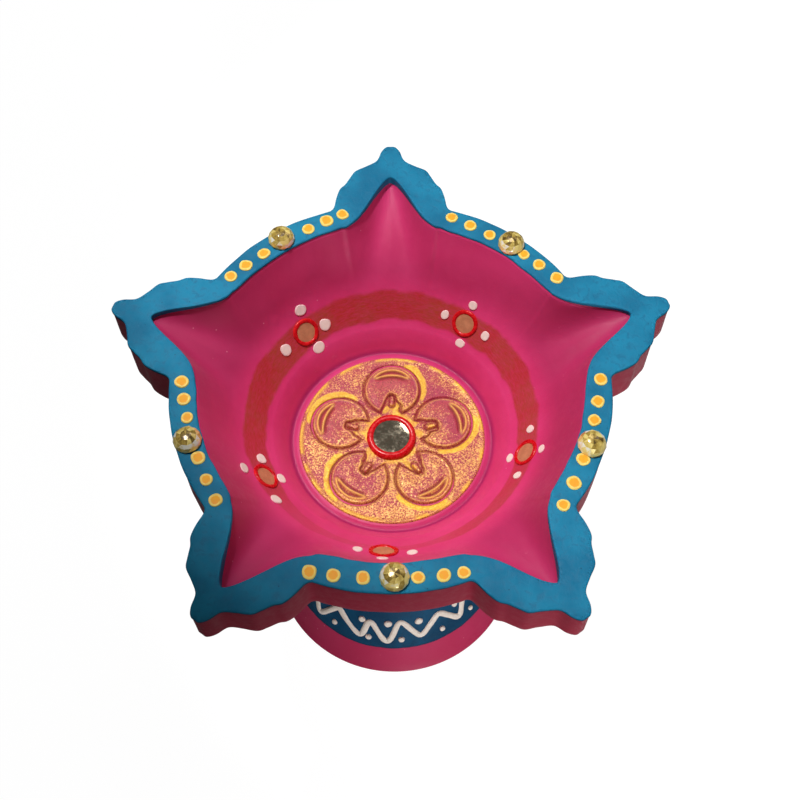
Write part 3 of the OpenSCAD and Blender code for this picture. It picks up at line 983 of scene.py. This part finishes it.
CENTRE_BEAD_IN = 3.36
WALL_MIRROR_D = 4
WALL_BEAD_OUT = 2.75
WALL_BEAD_IN = 1.9
WALL_MIRROR_T = 0.2
WALL_BEAD_H = 0.4
DAB_H = 0.2
DAB_LONG, DAB_WIDE = 2.3, 2
DAB_SHARES = (1.2, 1.05, 1, 0.85, 0.9)


def wall_flower(k, dice):
    """A small mirror on the bowl's wall with its red bead and white dabs."""
    low, high = box_mm(f"wall_mirror_{k}")
    further = FLOWERS_OUT[k - 1]
    place = onto_wall(outwards((low + high) / 2, further, 0))
    turn = wall_turn(place)
    seat = place - turn @ Vector((0, 0, 0.04))
    mirror(f"wall_mirror_disc_{k}", f"wall_mirror_{k}", TAN_MIRROR, seat, turn,
           WALL_MIRROR_D, WALL_MIRROR_T, 0.02, dice)
    bead(f"wall_mirror_bead_{k}", f"wall_bead_{k}", seat, turn,
         WALL_BEAD_IN, WALL_BEAD_OUT, WALL_BEAD_H, dice, onto_wall)
    shape = Shape("rim")
    for centre, _ in islands(f"wall_dabs_{k}"):
        spot = onto_wall(outwards(centre, further, 0))
        away = spot - place
        frame_here = axes(wall_turn(spot) @ Vector((0, 0, 1)), away)
        size = [side * DAB_SHARES[k - 1] * dice.uniform(0.9, 1.02) for side in (DAB_WIDE, DAB_LONG)]
        drop(shape, spot, frame_here, size, DAB_H, FLAT_DROP, dice, onto_wall)
    shape.piece(f"wall_dab_drops_{k}", DAB_WHITE, f"wall_dabs_{k}")


def wall_trims():
    dice = random.Random(17)
    for k in range(1, POINTS + 1):
        wall_flower(k, dice)


# ---- the stones ----

# A stone's rings of facets from the back up: [share of the radius, share of the height, painted shine of
# the facets above it]
STONE_RINGS = [
    (0.97, 0, (0.3, 0.5)), (1, 0.2, (0.5, 0.9)), (0.92, 0.52, (0.4, 0.95)),
    (0.72, 0.82, (0.12, 0.62)), (0.38, 0.98, (0.05, 0.4)),
]
STONE_FACETS = 12
# How deep a stone's back sits in the paint, and how far its facets' edges are polished away
STONE_SINK = 0.05
STONE_POLISH = 0.55


def polish(mesh, middle):
    """Bends the normals of a cut stone towards those of a smooth dome."""
    normals = [None] * len(mesh.vertices)
    for face in mesh.polygons:
        for vert in face.vertices:
            dome = (mesh.vertices[vert].co - middle * MM).normalized()
            bent = face.normal.lerp(dome, STONE_POLISH if face.normal.z > 0.1 else 0)
            normals[vert] = bent.normalized()
    mesh.normals_split_custom_set_from_vertices(normals)


def rhinestone(k, dice):
    """A flat-backed round stone with a domed, faceted crown; each facet keeps its own painted shine, for
    what it would reflect.
    """
    low, high = box_mm(f"rhinestone_{k}")
    radius = (high.x - low.x) / 2
    nominal = (low + high) / 2
    centre = outwards(nominal, rim_lean(angle_of(nominal)), 0)
    bottom = low.z - STONE_SINK
    shape = Shape("tone")
    turn = dice.uniform(0, 30)

    def spot(level, part):
        share, height, _ = STONE_RINGS[level]
        a = radians(turn + 360 * (part + level % 2 / 2) / STONE_FACETS)
        return (centre.x + radius * share * cos(a), centre.y + radius * share * sin(a),
                bottom + (high.z - low.z + 0.04) * height)

    def facet(tone, *places):
        shape.faces.append(tuple(shape.point(place, tone=tone) for place in places))

    top = len(STONE_RINGS) - 1
    for part in range(STONE_FACETS):
        for level in range(top):
            # painted reflection: a shine at random for each facet, with one in ten made brighter as a
            # painted highlight
            tone = dice.uniform(*STONE_RINGS[level][2]) + (0.2 if dice.random() < 0.1 else 0)
            step = level % 2
            facet(tone, spot(level, part), spot(level, part + 1), spot(level + 1, part + step))
            facet(tone + dice.uniform(-0.15, 0.15), spot(level + 1, part + step), spot(level, part + 1),
                  spot(level + 1, part + 1 + step))
        facet(dice.uniform(*STONE_RINGS[top][2]), spot(top, part), spot(top, part + 1),
              (centre.x, centre.y, high.z))
        facet(0.25, spot(0, part + 1), spot(0, part), (centre.x, centre.y, bottom))
    stone = shape.piece(f"cut_stone_{k}", STONE, f"rhinestone_{k}", 1)
    polish(stone.data, Vector((centre.x, centre.y, low.z - 0.6)))


# ---- the medallion ----

PETAL_R = 5.65
PETAL_REACH = 10.75
# Where gold has pooled against each petal's outside, in degrees round the petal's own centre
POOL_ARCS = [(-30, 62), (50, 175), (115, 225), (205, 310), (-110, 10)]
# The crescent in a petal: [how far its circle is shifted inwards, the circle's radius]
CRESCENTS = [(0, 4.5), (5.4, 8.6)]


def petal_frame(x, y, k):
    """A point in the frame of petal k: u runs outwards from the petal's centre, v sideways."""
    a = radians(FIRST_TIP + SECTOR * k)
    return x * cos(a) + y * sin(a) - PETAL_REACH, -x * sin(a) + y * cos(a)


def cone_distance(u, v, start, end, start_r, end_r):
    """Distance outside a rounded cone that lies along u, from start to end."""
    s = min(max((u - start) / (end - start), 0), 1)
    return hypot(u - start - (end - start) * s, v) - start_r - (end_r - start_r) * s


def pool_beside(petal, x, y, out):
    """Gold pooled against the outside of a petal, on the arc where it has run together."""
    turn = angle_of(Vector((x, y, 0)) - polar(FIRST_TIP + SECTOR * petal, PETAL_REACH, 0))
    start, end = POOL_ARCS[petal]
    turn = start + (turn - start) % 360
    share = soft(turn, start, start + 25) * soft(end + 12 - turn, 0, 25)
    width = 0.55 + 0.5 * share + 0.35 * hand(x, y, 0, 2.2, 5.9)
    return soft(share, 0.05, 0.5) * soft(0.35 + width - out, -0.15, 0.2) * soft(out, 0.1, 0.3)


def relief(x, y):
    """Height over the disc and the marks of the moulding at a point."""
    r = hypot(x, y)
    rim = bell(r - (MEDALLION_R - 0.5), 0.45)
    marks = {"groove_shade": 0.0, "ridge_gold_and_highlight": 0.0,
             # the gold thins towards the back and a little towards the left
             "dust": 0.475 + 0.09 * hand(x, y, 0, 6, 2.3) - 0.0035 * y + 0.001 * x,
             "pool": 0.85 * rim * soft(0.5 + hand(x, y, 0, 3, 4.4), 0.2, 0.6)}
    height = 0.12 * rim

    def lift(mark, value):
        marks[mark] = max(marks[mark], value)

    for k in range(POINTS):
        u, v = petal_frame(x, y, k)
        from_middle = hypot(u, v)
        if from_middle > PETAL_R + 3:
            continue
        ragged = 0.4 * hand(x, y, k, 1.4, 6.6)
        notch = cone_distance(u + ragged, v - ragged, -2.1, -6.8, 0.95, 2.9)
        out = max(from_middle - PETAL_R, -notch)
        uneven = 0.75 + 0.4 * hand(x, y, k, 1.7, 4.8)
        height -= 0.34 * bell(out - 0.02, 0.22)
        lift("groove_shade", uneven * bell(out, 0.24))
        lift("pool", pool_beside(k, x, y, from_middle - PETAL_R))
        patches = soft(0.5 + hand(x, y, 9, 1.8), 0.35, 0.75)
        lift("pool", 0.8 * soft(-notch, 0.15, 0.4) * soft(-u, 1.2, 3.2) * patches)
        if out < 0:
            height += (0.14 * (1 - bell(out, 0.3)) + 0.12 * soft(-out, 0.2, 2.5)
                       + 0.1 * bell(out + 0.5, 0.2))
            lift("ridge_gold_and_highlight", 0.5 * uneven * bell(out + 0.5, 0.17))
            marks["dust"] -= (0.04 + 0.08 * soft(u, -2, 3)) * (1 - bell(out, 0.6))
            window = soft(u / max(from_middle, 0.01), 0.5, 0.7)
            for shift, reach in CRESCENTS:
                gap = hypot(u + shift, v) - reach
                height += window * (0.24 * bell(gap, 0.25) - 0.2 * bell(gap + 0.5, 0.24))
                lift("ridge_gold_and_highlight", 0.9 * window * bell(gap, 0.22))
                lift("groove_shade", 0.95 * window * bell(gap + 0.5, 0.24))
        knob = cone_distance(u, v, -1.9, -3.3, 0.5, 0.55)
        height += 0.35 * soft(-knob, 0, 0.3) - 0.2 * bell(knob - 0.12, 0.17)
        lift("groove_shade", 0.8 * bell(knob - 0.1, 0.17))
    lift("pool", 0.75 * bell(r - 5.2, 0.6) * soft(0.5 + hand(x, y, 3, 2.5), 0.3, 0.6))
    marks["pool"] *= 1 - marks["groove_shade"]
    return height, marks


def floor_medallion():
    shape = Shape("groove_shade", "pool", "ridge_gold_and_highlight", "dust", "side")
    columns, rings_n, start = 640, 160, 3.4
    turns = [360 * c / columns for c in range(columns)]
    rings = []
    for k in range(rings_n + 1):
        r = start + (MEDALLION_R - 0.3 - start) * k / rings_n
        ring = []
        for turn in turns:
            spot = polar(turn, r, 0)
            height, marks = relief(spot.x, spot.y)
            z = min(DISC_Z + height + 0.04 * hand(*spot, 2.5, 1.1), RELIEF_TOP)
            ring.append(shape.point((spot.x, spot.y, z), **marks))
        rings.append(ring)
    # the disc's side: no gold, and a darker red that is partly painted shade
    for inset, down, side in ((0.16, 0.08, 0), (0.05, 0.2, 0.6), (0.0, 0.4, 1), (0.0, 1.0, 1)):
        rings.append(shape.ring([polar(turn, MEDALLION_R - inset, DISC_Z - down) for turn in turns],
                                dust=0.55, side=side))
    shape.skin(rings)
    shape.cap(rings[0], (0, 0, DISC_Z), dust=0.55)
    shape.cap(rings[-1], (0, 0, FLOOR_Z), side=1.0)
    shape.piece("flower_medallion", GOLD, "floor_medallion", 70)


# ---- the stage ----

VIEW_ELEVATION = 61.35
VIEW_YAW = 0.34
VIEW_ROLL = -0.63
VIEW_DISTANCE = 222.1
VIEW_AIM = Vector((1.7, -3.7, LAMP_H))
LENS = 55.55
SENSOR = 36
# Half the side of the stage's floor, in metres
FLOOR_HALF = 1.5


def make_camera():
    yaw, tilt, roll = (radians(a) for a in (VIEW_YAW, 90 - VIEW_ELEVATION, VIEW_ROLL))
    turn = (Matrix.Rotation(yaw, 3, "Z") @ Matrix.Rotation(tilt, 3, "X")
            @ Matrix.Rotation(roll, 3, "Z"))
    data = bpy.data.cameras.new("camera")
    data.lens = LENS
    data.sensor_width = SENSOR
    data.clip_start = 0.01
    camera = new_object("camera", data)
    camera.rotation_mode = "QUATERNION"
    camera.rotation_quaternion = turn.to_quaternion()
    camera.location = (VIEW_AIM + turn.col[2] * VIEW_DISTANCE) * MM
    bpy.context.scene.camera = camera


def seen_or_not(tree, seen, otherwise):
    """A value that is one number where the camera looks straight at the stage, another for light that
    bounces off it."""
    path = tree.nodes.new("ShaderNodeLightPath")
    pick = tree.nodes.new("ShaderNodeMapRange")
    pick.inputs["To Min"].default_value = otherwise
    pick.inputs["To Max"].default_value = seen
    tree.links.new(path.outputs["Is Camera Ray"], pick.inputs["Value"])
    return pick.outputs["Result"]


def make_floor():
    mesh = bpy.data.meshes.new("floor")
    work = bmesh.new()
    bmesh.ops.create_grid(work, x_segments=8, y_segments=8, size=FLOOR_HALF)
    work.to_mesh(mesh)
    work.free()
    mat = Finish("pale_floor", Roughness=0.9, Specular_IOR_Level=0)
    faint = mat.mix(mat.span(mat.grain(60)), (0.54, 0.54, 0.54, 1), (0.58, 0.58, 0.58, 1))
    pale = mat.mix(seen_or_not(mat.tree, 0.8, 0), faint, (0, 0, 0, 1))
    mesh.materials.append(mat.filled(Base_Color=pale, Emission_Color=(1, 1, 1, 1),
                                     Emission_Strength=seen_or_not(mat.tree, 0.98, 0)))
    floor = new_object("floor", mesh)


def make_light(name, kind, place, target, pool=0, **settings):
    """A lamp aimed at a target; pool is the radius of a spotlight's pool of light there."""
    data = bpy.data.lights.new(name, kind)
    back = Vector(place) - Vector(target)
    if pool:
        data.spot_size = 2 * atan(pool / back.length)
    for setting, value in settings.items():
        setattr(data, setting, value)
    light = new_object(name, data)
    light.location = Vector(place) * MM
    light.rotation_mode = "QUATERNION"
    light.rotation_quaternion = back.to_track_quat("Z", "Y")


def make_world():
    world = bpy.data.worlds.new("studio")
    world.use_nodes = True
    background = world.node_tree.nodes["Background"]
    background.inputs["Color"].default_value = (1, 1, 1, 1)
    world.node_tree.links.new(seen_or_not(world.node_tree, 0.97, 0.1), background.inputs["Strength"])
    bpy.context.scene.world = world


def make_stage():
    make_camera()
    make_world()
    make_floor()
    # the key's pool fades over the front left of the rim, the fill's over the left of the foot
    make_light("key", "SPOT", (-147, 173, 787), (53, 73, LAMP_H), pool=131, spot_blend=0.08,
               shadow_soft_size=0.018, energy=20.2)
    make_light("fill", "SPOT", (110, -480, 120), (44, -20, 24), pool=84, spot_blend=0.55,
               shadow_soft_size=0.035, energy=6.4)
    # two weak lamps for the gloss
    middle = (0, 0, LAMP_H)
    make_light("softbox", "AREA", (330, 330, 500), middle, shape="DISK", size=0.25, energy=0.2)
    make_light("glint", "AREA", (60, 316, 562), middle, shape="DISK", size=0.045, energy=0.12)
    bpy.context.scene.view_settings.view_transform = "Standard"


def make_lamp():
    columns = star_columns()
    star_bowl(columns)
    rim_paint(columns)
    pedestal_foot()
    foot_paint()
    zigzag_line()
    band_dots()
    floor_medallion()
    centre_trim()
    wall_trims()
    rim_dots()
    dice = random.Random(41)
    for k in range(1, POINTS + 1):
        rhinestone(k, dice)


make_stage()
make_lamp()
